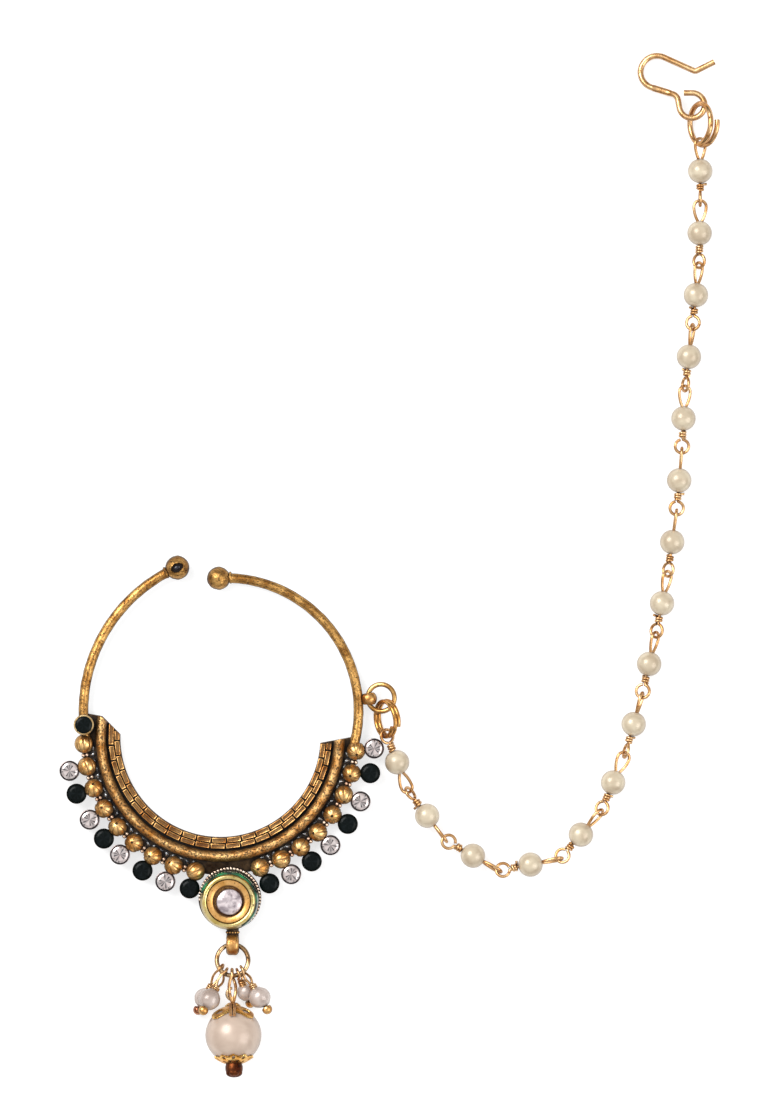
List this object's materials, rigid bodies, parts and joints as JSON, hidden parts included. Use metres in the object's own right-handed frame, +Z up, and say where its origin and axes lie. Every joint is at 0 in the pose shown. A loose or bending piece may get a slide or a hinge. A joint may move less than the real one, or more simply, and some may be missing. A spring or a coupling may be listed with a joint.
{
  "type": "nath nose ring with hair chain",
  "caption": "Antique gold nath: an open nose hoop with a jewelled half-ring band, a pearl drop and a beaded hair chain that ends in a hook, laid out flat.",
  "frame": {"origin": "on the surface, under the middle of the whole lay-out's bounding box", "axes": "+X to the right of the lay-out, +Y towards the hair hook, +Z up from the surface it lies on"},
  "size_m": [0.1072, 0.1664, 0.009],
  "materials": {
    "antique_gold": "cast, antiqued and polished on the high places",
    "gold_wire": "gold-plated drawn wire",
    "gold_cap": "gold-plated cast and pierced cap",
    "enamelled_gold": "polished gold with green enamel on the flared side",
    "black_glass": "cut black glass",
    "clear_glass": "cut clear glass with a foiled back",
    "kundan_glass": "flat glass stone over foil",
    "ivory_pearl": "satin ivory imitation pearl",
    "cream_pearl": "glossy cream imitation pearl"
  },
  "bodies": {
    "root": {"nath_frame": "antique_gold", "black_stone_01": "black_glass", "black_stone_02": "black_glass", "black_stone_03": "black_glass", "black_stone_04": "black_glass", "black_stone_05": "black_glass", "black_stone_06": "black_glass", "black_stone_07": "black_glass", "black_stone_08": "black_glass", "black_stone_09": "black_glass", "clear_stone_01": "clear_glass", "clear_stone_02": "clear_glass", "clear_stone_03": "clear_glass", "clear_stone_04": "clear_glass", "clear_stone_05": "clear_glass", "clear_stone_06": "clear_glass", "clear_stone_07": "clear_glass", "clear_stone_08": "clear_glass", "kundan_cup": "enamelled_gold", "kundan_stone": "kundan_glass", "drop_ring": "antique_gold", "main_pearl": "cream_pearl", "main_pearl_top_cap": "gold_cap", "main_pearl_bottom_cap": "gold_cap", "main_pearl_pin": "gold_wire", "small_pearl_front_left": "cream_pearl", "small_pearl_back_left": "cream_pearl", "small_pearl_right": "cream_pearl", "small_pearl_back_middle": "cream_pearl", "side_jump_ring": "gold_wire", "coil_ring": "gold_wire", "pearl_link_01": "ivory_pearl", "pearl_link_02": "ivory_pearl", "pearl_link_03": "ivory_pearl", "pearl_link_04": "ivory_pearl", "pearl_link_05": "ivory_pearl", "pearl_link_06": "ivory_pearl", "pearl_link_07": "ivory_pearl", "pearl_link_08": "ivory_pearl", "pearl_link_09": "ivory_pearl", "pearl_link_10": "ivory_pearl", "pearl_link_11": "ivory_pearl", "pearl_link_12": "ivory_pearl", "pearl_link_13": "ivory_pearl", "pearl_link_14": "ivory_pearl", "pearl_link_15": "ivory_pearl", "pearl_link_16": "ivory_pearl", "hook_ring": "gold_wire", "hair_hook": "gold_wire"}
  },
  "joints": []
}
